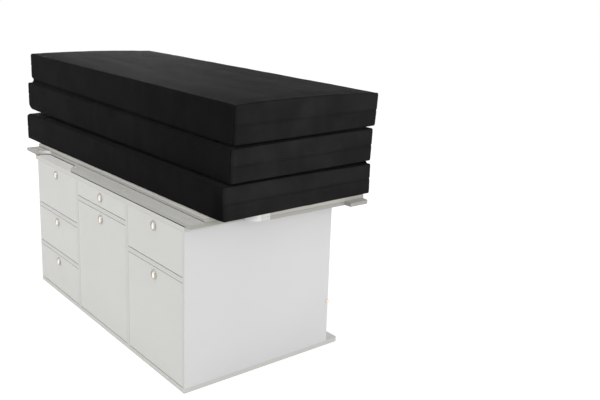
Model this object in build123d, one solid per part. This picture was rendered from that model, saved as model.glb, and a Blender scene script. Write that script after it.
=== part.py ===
from build123d import *
import os
from math import cos, radians, sin

os.makedirs("parts", exist_ok=True)

# Camper van bed box: a drawer cabinet, two deck boards and a folding mattress.
# Millimetres. The origin is the centre of the cabinet's footprint on the floor.
# +Z is up, the drawer fronts face -Y, and +X is to the right of a person facing them.

# Cabinet
WIDTH = 1120.0
DEPTH = 555.0
HEIGHT = 513.0
BOARD = 15.0
SIDE_BOARD = 8.0  # the right side panel
SIDE_BOARD_ROUND = 2.5
BACK_BOARD = 10.0
REVEAL = 2.0
SIDE_REVEAL = 0.5
TOP_REVEAL = 0.3
TOP_OVERHANG = 30.0
TOP_CORNER = 10.0
BASE_STRIP = 50.0
BASE_CORNER = 8.0
RAIL_DEPTH = 60.0
LEFT = -WIDTH / 2
RIGHT = WIDTH / 2
FRONT = -DEPTH / 2
BACK = DEPTH / 2
FRONT_INSIDE = FRONT + BOARD
BACK_INSIDE = BACK - BACK_BOARD
CEILING = HEIGHT - BOARD
DIVIDER_LEFT_X = -185.0
DIVIDER_RIGHT_X = 203.5

# Deck boards: their right sides are stepped to follow the vehicle's side
UNDERLAY = 2.0
UNDERLAY_INSET = 0.5
DECK_BOARD = 12.0
DECK_EASE = 1.0
DECK_LEFT = -675.0
DECK_BACK = 343.0
DECK_NOSE_RIGHT = 594.0
DECK_STEP_Y = -105.0
DECK_RIGHT = 638.0
EAR_RIGHT = 664.0
EAR_FRONT = 262.5
EAR_CORNER = 12.0
NOTCH_LEFT = -562.0
NOTCH_RIGHT = -235.0
NOTCH_SLANT = 57.0
NOTCH_DEPTH = 48.0
STEP_TURN = 79.4  # degrees the edge turns to the right, and then back again
HOLLOW_RADIUS = 8.0
STEP_RADIUS = (DECK_RIGHT - DECK_NOSE_RIGHT) / (1 - cos(radians(STEP_TURN))) - HOLLOW_RADIUS
BITE_END = (-548.0, FRONT + NOTCH_DEPTH)
UPPER_BOARD_FRONT = FRONT + NOTCH_DEPTH
DECK_BOTTOM = HEIGHT + UNDERLAY
LOWER_BOARD_TOP = DECK_BOTTOM + DECK_BOARD
UPPER_BOARD_TOP = LOWER_BOARD_TOP + DECK_BOARD

# Pull-out guides: two strips under the upper board that run in grooves in the lower one
DECK_PULL = 500.0
GUIDE_XS = (-640.0, 540.0)
GUIDE_WIDTH = 11.5
GUIDE_DEPTH = 3.5
GUIDE_FRONT = UPPER_BOARD_FRONT + 5.5
GUIDE_BACK = DECK_BACK - 20.0
GUIDE_HEAD = 20.0
GUIDE_HEAD_DEPTH = 5.7
GROOVE_WIDTH = 12.0
GROOVE_DEPTH = 6.0
GROOVE_FRONT = GUIDE_FRONT - 1.0
STOP_FRONT = GUIDE_FRONT + GUIDE_HEAD + DECK_PULL + 1.0
STOP_HEIGHT = 2.0

# Fronts
EDGE_EASE = 0.8
RAIL_LEFT_UPPER_Z = 315.4
RAIL_LEFT_LOWER_Z = 158.0
RAIL_MIDDLE_Z = 424.0
RAIL_RIGHT_Z = 344.2

# Drawer boxes and runners
WALL = 9.0
BOX_BOTTOM = 6.0
BOX_BACK = 205.0
BOX_Z = {
    "left_top": (345.0, 470.0),
    "left_middle": (186.0, 284.0),
    "left_bottom": (26.0, 126.0),
    "middle_top": (446.0, 486.0),
    "middle_tall": (26.0, 330.0),
    "right_top": (371.0, 446.0),
    "right_tall": (26.0, 290.0),
}
RUNNER_SPACE = 13.0
RUNNER_FRONT = FRONT_INSIDE + 4.0
RUNNER_BACK = 190.0
CHANNEL_BACK = RUNNER_BACK + 6.0
CHANNEL_HEIGHT = 27.0
CHANNEL_DEPTH = 12.0
CHANNEL_SHEET = 1.5
SLIDE_HEIGHT = 20.0
SLIDE_INSET = 2.5
RUNNER_RISE = 18.5

# Push locks
LOCK_DROP = 25.0
RING_R = 16.0
RING_PROUD = 3.5
RING_BEVEL = 1.6
SLEEVE_R = 11.9
LOCK_HOLE_R = 12.0
KNOB_R = 10.5
KNOB_BORE_R = 10.75
KNOB_LENGTH = 19.0
KNOB_CROWN = 2.4
KNOB_PROUD = 1.2
BORE_DEPTH = 25.0
CASE_WIDTH = 44.0
CASE_HEIGHT = 36.0
CASE_DEPTH = 16.0
STRIKE_WIDTH = 34.0
STRIKE_DEPTH = 14.0
STRIKE_SHEET = 1.5

# Screws
SCREW_HEAD_R = 4.2
SCREW_HEAD = 2.6
SCREW_R = 2.0
DECK_SCREW_LENGTH = 24.0
BASE_SCREW_LENGTH = 40.0
BASE_SCREW_INSET = 60.0
STRIP_SCREW_Y = FRONT + 20.0
STRIP_SCREW_XS = (-240.0, 151.0, 521.0)
BACK_SCREW_Y = BACK - 30.0
BACK_SCREW_XS = (-500.0, -165.0, 165.0, 500.0)
EAR_SCREW_PLACES = ((-622.0, FRONT + 19.0), (-589.0, FRONT + 21.0))
GUIDE_SCREW_LENGTH = 15.0
GUIDE_SCREW_YS = (UPPER_BOARD_FRONT + 19.0, 50.0, 300.0)
BOLT_HEAD_R = 6.0
BOLT_HEAD = 4.0
BOLT_FROM_BACK = 3.0
BOLT_Z = 160.0

# Mattress: three sections folded in a Z, laid on the deck a little askew
MATTRESS_YAW = 1.05
MATTRESS_CORNER_X = 644.0
MATTRESS_CORNER_Y = -198.0
CUSHION_EDGE_R = 9.0
CUSHION_SIDE_BULGE = 2.5
CUSHION_END_STEPS = 4
END_HEIGHT_SHARE = 0.9  # how much of the end's rounding also comes off the height
END_CORNER_SHARE = 0.85
CORNER_SHARE = 1 - 0.5**0.5  # puts a right-angled corner's middle on its circle
CUSHION_LIES = UPPER_BOARD_TOP + 0.3

# Each section: its length and depth, then the heights and crowns at its right end and at
# its left end. Heights are bottom front, top front, bottom back and top back. Crowns are
# below and on top.
BOTTOM_SECTION = dict(
    length=1449.0,
    depth=570.0,
    right_heights=(CUSHION_LIES, 638.0, CUSHION_LIES, 639.0),
    right_crowns=(0, 1.5),
    left_heights=(CUSHION_LIES, 639.0, CUSHION_LIES, 639.0),
    left_crowns=(0, 10.0),
)
MIDDLE_SECTION = dict(
    length=1468.0,
    depth=548.0,
    right_heights=(641.0, 743.0, 648.0, 756.0),
    right_crowns=(0.5, 1.0),
    left_heights=(662.0, 773.0, 664.0, 775.0),
    left_crowns=(10.0, 6.0),
)
TOP_SECTION = dict(
    length=1450.0,
    depth=552.0,
    right_heights=(747.0, 860.0, 760.0, 865.0),
    right_crowns=(0.5, 5.0),
    left_heights=(787.0, 892.0, 789.0, 896.0),
    left_crowns=(6.0, 5.0),
)
MIDDLE_SHIFT = (4.0, 15.0)
TOP_SHIFT = (4.0, 24.0)


def block(x0, x1, y0, y1, z0, z1):
    """A board or bar between two opposite corners."""
    size = Box(x1 - x0, y1 - y0, z1 - z0)
    return Pos((x0 + x1) / 2, (y0 + y1) / 2, (z0 + z1) / 2) * size


def outward(x, y, z):
    """A place on a front where local +Z points out of the cabinet, along -Y."""
    return Pos(x, y, z) * Rot(90, 0, 0)


def save(name, *solids):
    """Write one node as its STEP file: one solid, or a group of them."""
    pieces = [solid for item in solids for solid in item.solids()]
    shape = pieces[0] if len(pieces) == 1 else Compound(children=pieces)
    shape.label = name
    export_step(shape, f"parts/{name}.step")


# ---- Cabinet boards ----


def screw(length):
    """A countersunk screw with its head's top at the origin, pointing down."""
    head = Pos(0, 0, -SCREW_HEAD / 2) * Cone(SCREW_R, SCREW_HEAD_R, SCREW_HEAD)
    shank = Pos(0, 0, -(length + SCREW_HEAD) / 2) * Cylinder(SCREW_R, length - SCREW_HEAD)
    return head + shank


def base_screws():
    """Screws driven up through the base into the four uprights."""
    upright_xs = (LEFT + BOARD / 2, DIVIDER_LEFT_X, DIVIDER_RIGHT_X, RIGHT - SIDE_BOARD / 2)
    screw_ys = (FRONT + BASE_SCREW_INSET, 0, BACK - BASE_SCREW_INSET)
    upside_down = Rot(180, 0, 0) * screw(BASE_SCREW_LENGTH)
    return [Pos(x, y, 0) * upside_down for x in upright_xs for y in screw_ys]


def base_plate():
    plate = block(LEFT, RIGHT, FRONT, BACK + BASE_STRIP, 0, BOARD)
    back_corners = plate.edges().filter_by(Axis.Z).group_by(Axis.Y)[-1]
    plate = fillet(back_corners, BASE_CORNER)
    return plate - base_screws()


def upright(x, front, back):
    """A divider or the left side panel, from its front edge to its back edge."""
    panel = block(x - BOARD / 2, x + BOARD / 2, front, back, BOARD, CEILING)
    return panel - base_screws()


def right_side_panel():
    """A thinner board than the rest, rounded along its outer front edge."""
    panel = block(RIGHT - SIDE_BOARD, RIGHT, FRONT, BACK, BOARD, CEILING)
    front_edges = panel.edges().filter_by(Axis.Z).group_by(Axis.Y)[0]
    panel = fillet(front_edges.sort_by(Axis.X)[-1], SIDE_BOARD_ROUND)
    return panel - base_screws()


def back_panel(x0, x1):
    return block(x0, x1, BACK_INSIDE, BACK, BOARD, CEILING)


def rail(x0, x1, z):
    return block(x0, x1, FRONT, FRONT + RAIL_DEPTH, z, z + BOARD)


def left_rail(z):
    """A rail that also laps over the front edge of the left side panel."""
    lap = block(LEFT, LEFT + BOARD, FRONT, FRONT_INSIDE, z, z + BOARD)
    return rail(LEFT + BOARD, DIVIDER_LEFT_X - BOARD / 2, z) + lap


def top_panel():
    """The top reaches out past the left side panel, with rounded corners there."""
    panel = block(LEFT - TOP_OVERHANG, RIGHT, FRONT, BACK, CEILING, HEIGHT)
    left_corners = panel.edges().filter_by(Axis.Z).group_by(Axis.X)[0]
    return fillet(left_corners, TOP_CORNER) - lower_deck_screws()


# ---- Deck boards ----


def deck_underlay():
    """A thin sheet between the top and the deck, set back from the edges that show."""
    notch_back = FRONT + NOTCH_DEPTH + UNDERLAY_INSET
    front = FRONT + UNDERLAY_INSET
    outline = Polyline(
        (LEFT, notch_back),
        (NOTCH_RIGHT - NOTCH_SLANT + UNDERLAY_INSET, notch_back),
        (NOTCH_RIGHT + UNDERLAY_INSET, front),
        (RIGHT - UNDERLAY_INSET, front),
        (RIGHT - UNDERLAY_INSET, BACK),
        (LEFT, BACK),
        close=True,
    )
    sheet = Pos(0, 0, HEIGHT) * extrude(make_face(outline), UNDERLAY)
    return sheet - lower_deck_screws()


def eased(board):
    """Takes a small flat off a deck board's edge strip along its top and its underside."""
    faces = board.faces().sort_by(Axis.Z)
    return chamfer(faces[0].edges() + faces[-1].edges(), DECK_EASE)


def stepped_side(front_y, back_y):
    """The right side from the nose back to back_y: straight, a hollow, a round step, straight."""
    nose = Line((DECK_NOSE_RIGHT, front_y), (DECK_NOSE_RIGHT, DECK_STEP_Y))
    hollow = JernArc(nose @ 1, (0, 1), HOLLOW_RADIUS, -STEP_TURN)
    step = JernArc(hollow @ 1, hollow % 1, STEP_RADIUS, STEP_TURN)
    return nose + hollow + step + Line(step @ 1, (DECK_RIGHT, back_y))


def lower_deck_board():
    """The fixed board: a notch in its front edge and an ear at its back right corner."""
    ear = Polyline(
        (DECK_RIGHT, EAR_FRONT),
        (EAR_RIGHT, EAR_FRONT),
        (EAR_RIGHT, DECK_BACK),
        (DECK_LEFT, DECK_BACK),
        (DECK_LEFT, FRONT),
        (NOTCH_LEFT, FRONT),
    )
    bite = TangentArc(BITE_END, (NOTCH_LEFT, FRONT), tangent=(-1, 0))
    notch = Polyline(
        BITE_END,
        (NOTCH_RIGHT - NOTCH_SLANT, FRONT + NOTCH_DEPTH),
        (NOTCH_RIGHT, FRONT),
        (DECK_NOSE_RIGHT, FRONT),
    )
    outline = stepped_side(FRONT, EAR_FRONT) + ear + bite + notch
    board = Pos(0, 0, DECK_BOTTOM) * extrude(make_face(outline), DECK_BOARD)
    back_corners = board.edges().filter_by(Axis.Z).group_by(Axis.Y)[-1]
    board = eased(fillet(back_corners, EAR_CORNER))
    return board - lower_deck_screws() - guide_grooves()


def upper_deck_board():
    """The board that pulls out to the back: the same stepped side, with no notch."""
    rest = Polyline(
        (DECK_RIGHT, DECK_BACK),
        (DECK_LEFT, DECK_BACK),
        (DECK_LEFT, UPPER_BOARD_FRONT),
        (DECK_NOSE_RIGHT, UPPER_BOARD_FRONT),
    )
    outline = stepped_side(UPPER_BOARD_FRONT, DECK_BACK) + rest
    board = Pos(0, 0, LOWER_BOARD_TOP) * extrude(make_face(outline), DECK_BOARD)
    return eased(board) - upper_deck_screws()


def lower_deck_screws():
    """Screws along the front strip that the upper board leaves clear, and along the back."""
    places = [(x, STRIP_SCREW_Y) for x in STRIP_SCREW_XS]
    places += [(x, BACK_SCREW_Y) for x in BACK_SCREW_XS]
    return [Pos(x, y, LOWER_BOARD_TOP) * screw(DECK_SCREW_LENGTH) for x, y in places]


def ear_screws():
    """Two short screws in the overhanging left ear."""
    return [Pos(x, y, LOWER_BOARD_TOP) * screw(DECK_BOARD) for x, y in EAR_SCREW_PLACES]


def upper_deck_screws():
    """Short screws down into the guide strips. Only the front ones are clear of the mattress."""
    short = screw(GUIDE_SCREW_LENGTH)
    return [Pos(x, y, UPPER_BOARD_TOP) * short for x in GUIDE_XS for y in GUIDE_SCREW_YS]


def guide_bar(x, width, y0, y1, z0, z1):
    return block(x - width / 2, x + width / 2, y0, y1, z0, z1)


def guide_grooves():
    """Grooves in the top of the lower board, closed at the front and open at the back."""
    z0 = LOWER_BOARD_TOP - GROOVE_DEPTH
    z1 = LOWER_BOARD_TOP + 1
    return [guide_bar(x, GROOVE_WIDTH, GROOVE_FRONT, DECK_BACK + 1, z0, z1) for x in GUIDE_XS]


def deck_guides():
    """Strips under the upper board, each with a deeper head at its front that meets the stop."""
    guides = []
    for x in GUIDE_XS:
        z0 = LOWER_BOARD_TOP - GUIDE_DEPTH
        strip = guide_bar(x, GUIDE_WIDTH, GUIDE_FRONT, GUIDE_BACK, z0, LOWER_BOARD_TOP)
        head_z = LOWER_BOARD_TOP - GUIDE_HEAD_DEPTH
        head_back = GUIDE_FRONT + GUIDE_HEAD
        head = guide_bar(x, GUIDE_WIDTH, GUIDE_FRONT, head_back, head_z, LOWER_BOARD_TOP)
        guides.append(strip + head - upper_deck_screws())
    return guides


def deck_stops():
    """A low plate in the back end of each groove, which only the guide's head can't pass."""
    z0 = LOWER_BOARD_TOP - GROOVE_DEPTH
    return [
        guide_bar(x, GUIDE_WIDTH, STOP_FRONT, DECK_BACK, z0, z0 + STOP_HEIGHT) for x in GUIDE_XS
    ]


# ---- Drawers ----


class Drawer:
    """One drawer: its front's x span, the walls beside it, and the boards below and above."""

    def __init__(self, name, front_x, walls_x, floor_z, shelf_z, top_reveal=REVEAL):
        self.name = name
        self.x0, self.x1 = front_x
        self.wall0, self.wall1 = walls_x
        self.z0, self.z1 = floor_z + REVEAL, shelf_z - top_reveal
        self.shelf_z = shelf_z
        self.box_z0, self.box_z1 = BOX_Z[name]
        self.lock_x = (self.x0 + self.x1) / 2
        self.lock_z = self.z1 - LOCK_DROP
        self.runner_z = self.box_z0 + RUNNER_RISE

    def front(self):
        board = block(self.x0, self.x1, FRONT, FRONT_INSIDE, self.z0, self.z1)
        board = chamfer(board.faces().sort_by(Axis.Y)[0].edges(), EDGE_EASE)
        middle = outward(self.lock_x, FRONT + BOARD / 2, self.lock_z)
        return board - middle * Cylinder(LOCK_HOLE_R, BOARD + 2)

    def box(self):
        """Two side walls, a back and a bottom. The front closes it."""
        x0 = self.wall0 + RUNNER_SPACE
        x1 = self.wall1 - RUNNER_SPACE
        floor = self.box_z0 + BOX_BOTTOM
        bottom = block(x0, x1, FRONT_INSIDE, BOX_BACK, self.box_z0, floor)
        left = block(x0, x0 + WALL, FRONT_INSIDE, BOX_BACK, floor, self.box_z1)
        right = block(x1 - WALL, x1, FRONT_INSIDE, BOX_BACK, floor, self.box_z1)
        back = block(x0 + WALL, x1 - WALL, BOX_BACK - WALL, BOX_BACK, floor, self.box_z1)
        return [bottom, left, right, back]

    def slides(self):
        """The rails on the box that run in the cabinet's channels."""
        z0 = self.runner_z - SLIDE_HEIGHT / 2
        z1 = self.runner_z + SLIDE_HEIGHT / 2
        pair = []
        for wall, side in ((self.wall0, 1), (self.wall1, -1)):
            x0, x1 = sorted((wall + side * SLIDE_INSET, wall + side * RUNNER_SPACE))
            pair.append(block(x0, x1, RUNNER_FRONT, RUNNER_BACK, z0, z1))
        return pair

    def channels(self):
        """The C-shaped channels on the two walls beside this drawer."""
        z0 = self.runner_z - CHANNEL_HEIGHT / 2
        z1 = self.runner_z + CHANNEL_HEIGHT / 2
        pair = []
        for wall, side in ((self.wall0, 1), (self.wall1, -1)):
            mouth = wall + side * CHANNEL_DEPTH
            x0, x1 = sorted((wall, mouth))
            bar = block(x0, x1, RUNNER_FRONT, CHANNEL_BACK, z0, z1)
            x0, x1 = sorted((wall + side * CHANNEL_SHEET, mouth + side))
            slot = block(
                x0,
                x1,
                RUNNER_FRONT - 1,
                CHANNEL_BACK - CHANNEL_SHEET,
                z0 + CHANNEL_SHEET,
                z1 - CHANNEL_SHEET,
            )
            pair.append(bar - slot)
        return pair

    def lock_body(self):
        """A bevelled ring on the front, a sleeve through it and the case behind, bored for the knob."""
        ring = Pos(0, 0, RING_PROUD / 2) * Cylinder(RING_R, RING_PROUD)
        ring = chamfer(ring.edges().group_by(Axis.Z)[-1], RING_BEVEL)
        sleeve = Pos(0, 0, -BOARD / 2) * Cylinder(SLEEVE_R, BOARD)
        case = Pos(0, 0, -BOARD - CASE_DEPTH / 2) * Box(CASE_WIDTH, CASE_HEIGHT, CASE_DEPTH)
        bore_top = RING_PROUD + 1
        bore = Pos(0, 0, (bore_top - BORE_DEPTH) / 2) * Cylinder(KNOB_BORE_R, bore_top + BORE_DEPTH)
        return outward(self.lock_x, FRONT, self.lock_z) * (ring + sleeve + case - bore)

    def knob(self):
        """A round button with a crowned face, standing a little proud of its ring."""
        top = RING_PROUD + KNOB_PROUD + KNOB_CROWN
        ball_r = (KNOB_R**2 + KNOB_CROWN**2) / (2 * KNOB_CROWN)
        barrel = Pos(0, 0, top - KNOB_LENGTH / 2) * Cylinder(KNOB_R, KNOB_LENGTH)
        ball = Pos(0, 0, top - ball_r) * Sphere(ball_r)
        return outward(self.lock_x, FRONT, self.lock_z) * (barrel & ball)

    def strike(self):
        """The plate that the lock's bolt catches, under the rail or top above the front."""
        x0 = self.lock_x - STRIKE_WIDTH / 2
        y0 = FRONT_INSIDE + 1
        z0 = self.shelf_z - STRIKE_SHEET
        return block(x0, x0 + STRIKE_WIDTH, y0, y0 + STRIKE_DEPTH, z0, self.shelf_z)


def drawers():
    """The seven drawers, column by column."""
    half = BOARD / 2
    left = (
        (LEFT, DIVIDER_LEFT_X - half - SIDE_REVEAL),
        (LEFT + BOARD, DIVIDER_LEFT_X - half),
    )
    middle = (
        (DIVIDER_LEFT_X + half + SIDE_REVEAL, DIVIDER_RIGHT_X - half - SIDE_REVEAL),
        (DIVIDER_LEFT_X + half, DIVIDER_RIGHT_X - half),
    )
    right = (
        (DIVIDER_RIGHT_X + half + SIDE_REVEAL, RIGHT - SIDE_BOARD - SIDE_REVEAL),
        (DIVIDER_RIGHT_X + half, RIGHT - SIDE_BOARD),
    )
    return [
        Drawer("left_top", *left, RAIL_LEFT_UPPER_Z + BOARD, CEILING, TOP_REVEAL),
        Drawer("left_middle", *left, RAIL_LEFT_LOWER_Z + BOARD, RAIL_LEFT_UPPER_Z),
        Drawer("left_bottom", *left, BOARD, RAIL_LEFT_LOWER_Z),
        Drawer("middle_top", *middle, RAIL_MIDDLE_Z + BOARD, CEILING, TOP_REVEAL),
        Drawer("middle_tall", *middle, BOARD, RAIL_MIDDLE_Z),
        Drawer("right_top", *right, RAIL_RIGHT_Z + BOARD, CEILING, TOP_REVEAL),
        Drawer("right_tall", *right, BOARD, RAIL_RIGHT_Z),
    ]


# ---- Mattress ----


def rounded_side(start, end, bulge):
    """A straight or bowed side, which bows to the right of the way from start to end."""
    if bulge == 0:
        return Line(start, end)
    run = Vector(*end) - Vector(*start)
    outward_step = Vector(run.Y, -run.X).normalized() * bulge
    return ThreePointArc(start, (Vector(*start) + Vector(*end)) * 0.5 + outward_step, end)


def rounded_corner(start, corner, end):
    """A corner arc between two sides that would meet at corner."""
    middle = (Vector(*start) + Vector(*end)) * CORNER_SHARE + Vector(*corner) * (1 - 2 * CORNER_SHARE)
    return ThreePointArc(start, middle, end)


def cushion_outline(depth, heights, inset, corner_r, crowns):
    """A section across a cushion: crowned below and on top, bulged front and back, round corners.

    heights are the bottom and top at the front, then the bottom and top at the back.
    """
    low_crown, top_crown = crowns
    corners = [
        (inset, heights[0] + inset),
        (depth - inset, heights[2] + inset),
        (depth - inset, heights[3] - inset),
        (inset, heights[1] - inset),
    ]
    steps = [(corner_r, 0), (0, corner_r), (-corner_r, 0), (0, -corner_r)]
    bulges = [low_crown, CUSHION_SIDE_BULGE, top_crown, CUSHION_SIDE_BULGE]
    edges = []
    for index, (y, z) in enumerate(corners):
        away = steps[index]
        before = steps[index - 1]
        next_y, next_z = corners[(index + 1) % 4]
        leave = (y + away[0], z + away[1])
        arrive = (y - before[0], z - before[1])
        reach = (next_y - away[0], next_z - away[1])
        edges.append(rounded_corner(arrive, (y, z), leave))
        edges.append(rounded_side(leave, reach, bulges[index]))
    return make_face(Curve(children=edges))


def between(right, left, share):
    """Values part of the way from a section's right end to its left end."""
    return [r + (l - r) * share for r, l in zip(right, left)]


def cushion(length, depth, right_heights, right_crowns, left_heights, left_crowns):
    """A foam block, lofted from its right end at x 0 to its left end at x -length."""
    stations = []
    for step in range(CUSHION_END_STEPS + 1):
        angle = radians(90.0 * step / CUSHION_END_STEPS)
        along = CUSHION_EDGE_R * (1 - sin(angle))
        stations.append((along, CUSHION_EDGE_R * (1 - cos(angle)) * END_HEIGHT_SHARE))
    sections = []
    for along, inset in stations[::-1] + [(length - along, inset) for along, inset in stations]:
        share = along / length
        heights = between(right_heights, left_heights, share)
        crowns = between(right_crowns, left_crowns, share)
        corner_r = CUSHION_EDGE_R - inset * END_CORNER_SHARE
        face = cushion_outline(depth, heights, inset, corner_r, crowns)
        sections.append(Plane(origin=(-along, 0, 0), x_dir=(0, 1, 0), z_dir=(1, 0, 0)) * face)
    return loft(sections, ruled=True)


def lay(section, shift=(0, 0)):
    """Turn a section askew with the whole mattress and set its near right corner."""
    corner = Pos(MATTRESS_CORNER_X, MATTRESS_CORNER_Y, 0) * Rot(0, 0, MATTRESS_YAW)
    return corner * Pos(shift[0], shift[1], 0) * section


# ---- Assembly ----


def side_bolt():
    """A round bolt head low on the right side panel, by its back edge."""
    place = Pos(RIGHT + BOLT_HEAD / 2, BACK - BOLT_FROM_BACK, BOLT_Z)
    return place * Rot(0, 90, 0) * Cylinder(BOLT_HEAD_R, BOLT_HEAD)


def save_cabinet():
    half = BOARD / 2
    save("base_plate", base_plate())
    save("side_panel_left", upright(LEFT + half, FRONT_INSIDE, BACK))
    save("side_panel_right", right_side_panel())
    save("divider_left", upright(DIVIDER_LEFT_X, FRONT, BACK_INSIDE))
    save("divider_right", upright(DIVIDER_RIGHT_X, FRONT, BACK_INSIDE))
    save("back_panel", back_panel(LEFT + BOARD, RIGHT - SIDE_BOARD))
    save("top_panel", top_panel())
    save("rail_left_upper", left_rail(RAIL_LEFT_UPPER_Z))
    save("rail_left_lower", left_rail(RAIL_LEFT_LOWER_Z))
    save("rail_middle", rail(DIVIDER_LEFT_X + half, DIVIDER_RIGHT_X - half, RAIL_MIDDLE_Z))
    save("rail_right", rail(DIVIDER_RIGHT_X + half, RIGHT - SIDE_BOARD, RAIL_RIGHT_Z))
    save("base_screws", *base_screws())
    save("side_bolt", side_bolt())


def save_deck():
    save("deck_underlay", deck_underlay())
    save("deck_board_lower", lower_deck_board() - ear_screws())
    save("deck_board_upper", upper_deck_board())
    save("lower_deck_screws", *lower_deck_screws(), *ear_screws())
    save("upper_deck_screws", *upper_deck_screws())
    save("deck_guides", *deck_guides())
    save("deck_stops", *deck_stops())


def save_drawers():
    channels = []
    strikes = []
    for drawer in drawers():
        save(f"drawer_front_{drawer.name}", drawer.front())
        save(f"drawer_box_{drawer.name}", *drawer.box())
        save(f"drawer_slides_{drawer.name}", *drawer.slides())
        save(f"lock_body_{drawer.name}", drawer.lock_body())
        save(f"lock_knob_{drawer.name}", drawer.knob())
        channels += drawer.channels()
        strikes.append(drawer.strike())
    save("runner_channels", *channels)
    save("strike_plates", *strikes)


def save_mattress():
    save("mattress_bottom", lay(cushion(**BOTTOM_SECTION)))
    save("mattress_middle", lay(cushion(**MIDDLE_SECTION), MIDDLE_SHIFT))
    save("mattress_top", lay(cushion(**TOP_SECTION), TOP_SHIFT))


save_cabinet()
save_deck()
save_drawers()
save_mattress()
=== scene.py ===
from math import cos, pi, radians, sin

import bmesh
import bpy
import numpy as np
from mathutils import Matrix, Vector, noise
from mathutils.bvhtree import BVHTree


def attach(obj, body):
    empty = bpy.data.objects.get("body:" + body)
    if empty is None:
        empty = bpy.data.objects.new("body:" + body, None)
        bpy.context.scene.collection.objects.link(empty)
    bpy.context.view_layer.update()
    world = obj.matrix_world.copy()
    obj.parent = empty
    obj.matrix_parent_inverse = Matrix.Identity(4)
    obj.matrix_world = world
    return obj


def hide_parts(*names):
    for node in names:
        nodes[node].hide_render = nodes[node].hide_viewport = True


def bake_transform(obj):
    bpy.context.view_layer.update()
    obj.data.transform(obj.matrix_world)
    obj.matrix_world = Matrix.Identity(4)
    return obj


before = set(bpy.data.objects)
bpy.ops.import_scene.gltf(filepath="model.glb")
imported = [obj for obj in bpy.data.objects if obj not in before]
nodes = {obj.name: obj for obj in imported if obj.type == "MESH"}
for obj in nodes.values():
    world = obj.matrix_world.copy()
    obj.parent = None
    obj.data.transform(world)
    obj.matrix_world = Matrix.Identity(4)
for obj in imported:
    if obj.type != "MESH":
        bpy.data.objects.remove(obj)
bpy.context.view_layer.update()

# ---- Cabinet boards ----
# Base, sides, dividers, back, top and rails of board with a light grey laminate pressed on
# both faces, and a strip ironed on each cut edge that is a little warmer and darker. They
# are screwed together through the base. The sides and dividers wear a copy of the laminate
# that is painted lighter and cooler, as painted light on the cabinet's right side.

FACE_WHITE = (0.628, 0.628, 0.606, 1)
# The uprights' copy of the laminate is painted lighter and cooler, as painted light on the right side.
SIDE_WHITE_PAINTED_LIGHTER = (0.680, 0.682, 0.680, 1)
EDGE_STRIP = (0.605, 0.605, 0.575, 1)
RAILS = ("rail_left_upper", "rail_left_lower", "rail_middle", "rail_right")
LEVEL_BOARDS = ("base_plate", "top_panel", *RAILS)
UPRIGHT_BOARDS = ("side_panel_left", "side_panel_right", "divider_left", "divider_right")


def give(tree, socket, value):
    """Links a socket to another one, or sets its own value."""
    if isinstance(value, bpy.types.NodeSocket):
        tree.links.new(value, socket)
    else:
        socket.default_value = value


def put(tree, kind, values=None, **settings):
    """Adds a shader or geometry node, sets its properties, and links or sets its inputs."""
    made = tree.nodes.new(kind)
    for name, value in settings.items():
        setattr(made, name, value)
    for key, value in (values or {}).items():
        give(tree, made.inputs[key], value)
    return made


def sockets(tree, inputs, outputs):
    """Names a node group's sockets, and returns what comes in and where it goes out."""
    for name, kind, value in inputs:
        socket = tree.interface.new_socket(name=name, in_out="INPUT", socket_type=kind)
        if value is not None:
            socket.default_value = value
    for name, kind in outputs:
        tree.interface.new_socket(name=name, in_out="OUTPUT", socket_type=kind)
    return tree.nodes.new("NodeGroupInput").outputs, tree.nodes.new("NodeGroupOutput").inputs


def math_node(tree, operation, a, b=0.0, c=0.0):
    """One step of arithmetic on values or sockets."""
    return put(tree, "ShaderNodeMath", {0: a, 1: b, 2: c}, operation=operation).outputs[0]


def scaled(tree, vector, factor):
    """Makes a vector or a colour larger or smaller."""
    return put(tree, "ShaderNodeVectorMath", {0: vector, "Scale": factor}, operation="SCALE").outputs[0]


def ranged(tree, value, low, high, to_low, to_high):
    """Maps a value from one range to another, and holds it at the ends."""
    values = {"Value": value, "From Min": low, "From Max": high, "To Min": to_low, "To Max": to_high}
    return put(tree, "ShaderNodeMapRange", values).outputs["Result"]


def blended(tree, share, first, second):
    """Mixes two colours."""
    made = put(tree, "ShaderNodeMix", data_type="RGBA")
    for socket, value in ((0, share), (6, first), (7, second)):
        give(tree, made.inputs[socket], value)
    return made.outputs[2]


def speckled(tree, spot, scale, detail, roughness=0.5):
    """Noise of about 0.3 to 0.7, at so many specks per metre."""
    values = {"Vector": spot, "Scale": scale, "Detail": detail, "Roughness": roughness}
    return put(tree, "ShaderNodeTexNoise", values).outputs["Fac"]


def send(tree, made, colour, roughness, height):
    """Puts out a skin's colour, roughness and height."""
    for name, value in (("Colour", colour), ("Roughness", roughness), ("Height", height)):
        tree.links.new(value, made[name])


SKIN_OUTPUTS = (
    ("Colour", "NodeSocketColor"),
    ("Roughness", "NodeSocketFloat"),
    ("Height", "NodeSocketFloat"),
)


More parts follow.
